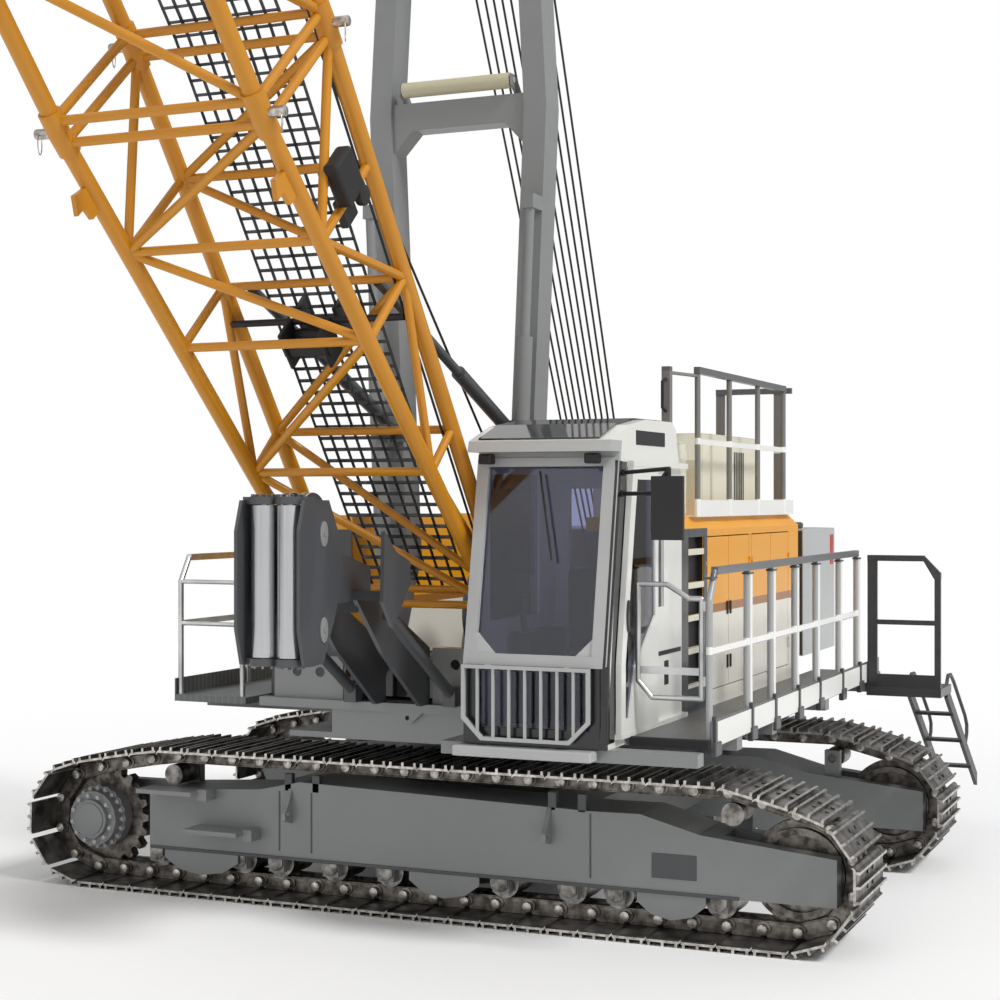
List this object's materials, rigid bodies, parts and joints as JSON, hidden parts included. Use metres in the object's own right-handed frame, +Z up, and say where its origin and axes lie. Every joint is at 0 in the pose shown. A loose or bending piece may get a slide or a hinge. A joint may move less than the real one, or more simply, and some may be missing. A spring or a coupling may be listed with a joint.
{
  "type": "crawler crane",
  "caption": "Crawler crane with lattice boom, upright A-frame, rope guide, side cab and machine houses on a slewing deck over two long tracks",
  "frame": {"origin": "on the ground under the slewing axis", "axes": "+Z up, -Y to the front of the upper carriage where the boom points, +X to its left where the cab stands, tracks along X"},
  "size_m": [6.1881, 14.6631, 11.3372],
  "materials": {
    "steel_grey": "satin grey paint",
    "boom_yellow": "gloss yellow paint",
    "house_white": "gloss white and yellow paint",
    "cab_white": "gloss white and black paint",
    "black_paint": "satin black paint",
    "track_steel": "worn bare steel",
    "rail_metal": "bare and dark painted tube",
    "glass": "tinted clear glass",
    "seat_cloth": "dark cloth",
    "grating": "dark galvanised mesh",
    "bright_steel": "machined steel",
    "roller_beige": "beige plastic"
  },
  "bodies": {
    "undercarriage": {"car_body": "steel_grey", "slew_ring": "steel_grey", "track_frame_right": "steel_grey", "track_frame_left": "steel_grey", "track_right": "track_steel", "track_left": "track_steel", "sprocket_right": "track_steel", "sprocket_left": "track_steel", "idler_right": "track_steel", "idler_left": "track_steel", "rollers_right": "track_steel", "rollers_left": "track_steel"},
    "uppercarriage": {"deck_frame": "steel_grey", "counterweight": "steel_grey", "cab_shell": "cab_white", "cab_glass": "glass", "cab_seat": "seat_cloth", "cab_console": "black_paint", "cab_guard": "black_paint", "cab_mirror": "black_paint", "house_left": "house_white", "house_right": "house_white", "engine_block": "steel_grey", "walkway_left": "rail_metal", "walkway_right": "rail_metal", "railing_left": "rail_metal", "railing_right": "rail_metal", "stair_platform": "rail_metal", "ladder": "rail_metal", "roof_rails": "rail_metal", "winch_frame": "steel_grey", "fairlead_frame": "steel_grey"},
    "cab_door": {"cab_door": "cab_white", "cab_door_glass": "glass"},
    "gate": {"gate": "rail_metal"},
    "hoist_drum_front": {"hoist_drum_front": "steel_grey"},
    "hoist_drum_rear": {"hoist_drum_rear": "steel_grey"},
    "luffing_drum": {"luffing_drum": "steel_grey"},
    "fairlead_roller_right": {"fairlead_roller_right": "bright_steel"},
    "fairlead_roller_left": {"fairlead_roller_left": "bright_steel"},
    "boom": {"boom_foot": "boom_yellow", "boom_insert": "boom_yellow", "boom_head": "boom_yellow", "boom_walkway": "grating", "pendants": "black_paint"},
    "boom_sheaves": {"boom_sheaves": "black_paint"},
    "mast": {"mast_leg_right": "steel_grey", "mast_leg_left": "steel_grey", "mast_beam": "steel_grey", "mast_head": "steel_grey", "roller_brackets": "steel_grey", "mast_jacks": "steel_grey", "backstops": "black_paint"},
    "mast_sheaves": {"mast_sheaves": "black_paint"},
    "mast_roller": {"mast_roller": "roller_beige"},
    "house_door_1": {"house_door_1": "house_white"},
    "house_door_2": {"house_door_2": "house_white"},
    "house_door_3": {"house_door_3": "house_white"},
    "house_door_4": {"house_door_4": "house_white"}
  },
  "joints": [
    {"name": "slew", "type": "hinge", "parent": "undercarriage", "child": "uppercarriage", "pos_m": [0, 0, 1.13], "axis": [0, 0, 1], "continuous": true},
    {"name": "boom_luff", "type": "hinge", "parent": "uppercarriage", "child": "boom", "pos_m": [0, -1.143, 1.622], "axis": [-1, 0, 0], "range_deg": [-10.4, 32.6]},
    {"name": "mast_luff", "type": "hinge", "parent": "uppercarriage", "child": "mast", "pos_m": [0, -1.143, 1.622], "axis": [-1, 0, 0], "range_deg": [-10.4, 32.6]},
    {"name": "cab_door_slide", "type": "slide", "parent": "uppercarriage", "child": "cab_door", "axis": [0, 1, 0], "range_m": [0, 0.58]},
    {"name": "gate_swing", "type": "hinge", "parent": "uppercarriage", "child": "gate", "pos_m": [2.22, -2.06, 1.9], "axis": [0, 0, 1], "range_deg": [0, 100]},
    {"name": "house_door_1_swing", "type": "hinge", "parent": "uppercarriage", "child": "house_door_1", "pos_m": [1.628, -0.162, 2], "axis": [0, 0, -1], "range_deg": [0, 90]},
    {"name": "house_door_2_swing", "type": "hinge", "parent": "uppercarriage", "child": "house_door_2", "pos_m": [1.628, 0.962, 2], "axis": [0, 0, 1], "range_deg": [0, 90]},
    {"name": "house_door_3_swing", "type": "hinge", "parent": "uppercarriage", "child": "house_door_3", "pos_m": [1.628, 1.038, 2], "axis": [0, 0, -1], "range_deg": [0, 90]},
    {"name": "house_door_4_swing", "type": "hinge", "parent": "uppercarriage", "child": "house_door_4", "pos_m": [1.628, 2.162, 2], "axis": [0, 0, 1], "range_deg": [0, 90]},
    {"name": "hoist_drum_front_spin", "type": "hinge", "parent": "uppercarriage", "child": "hoist_drum_front", "pos_m": [0, 0.3, 1.95], "axis": [1, 0, 0], "continuous": true},
    {"name": "hoist_drum_rear_spin", "type": "hinge", "parent": "uppercarriage", "child": "hoist_drum_rear", "pos_m": [0, 1.32, 1.95], "axis": [1, 0, 0], "continuous": true},
    {"name": "luffing_drum_spin", "type": "hinge", "parent": "uppercarriage", "child": "luffing_drum", "pos_m": [0, 2.42, 1.9], "axis": [1, 0, 0], "continuous": true},
    {"name": "fairlead_roller_right_spin", "type": "hinge", "parent": "uppercarriage", "child": "fairlead_roller_right", "pos_m": [-0.09, -3.45, 2.34], "axis": [0, 0, 1], "continuous": true},
    {"name": "fairlead_roller_left_spin", "type": "hinge", "parent": "uppercarriage", "child": "fairlead_roller_left", "pos_m": [0.09, -3.45, 2.34], "axis": [0, 0, 1], "continuous": true},
    {"name": "boom_sheaves_spin", "type": "hinge", "parent": "boom", "child": "boom_sheaves", "pos_m": [0, -9.77317, 11.00724], "axis": [1, 0, 0], "continuous": true},
    {"name": "mast_sheaves_spin", "type": "hinge", "parent": "mast", "child": "mast_sheaves", "pos_m": [0, -0.83, 8.24], "axis": [1, 0, 0], "continuous": true},
    {"name": "mast_roller_spin", "type": "hinge", "parent": "mast", "child": "mast_roller", "pos_m": [0, -0.94, 5.79], "axis": [1, 0, 0], "continuous": true}
  ],
  "couplings": [
    {"joint": "mast_luff", "follows": "boom_luff", "ratio": 1}
  ]
}
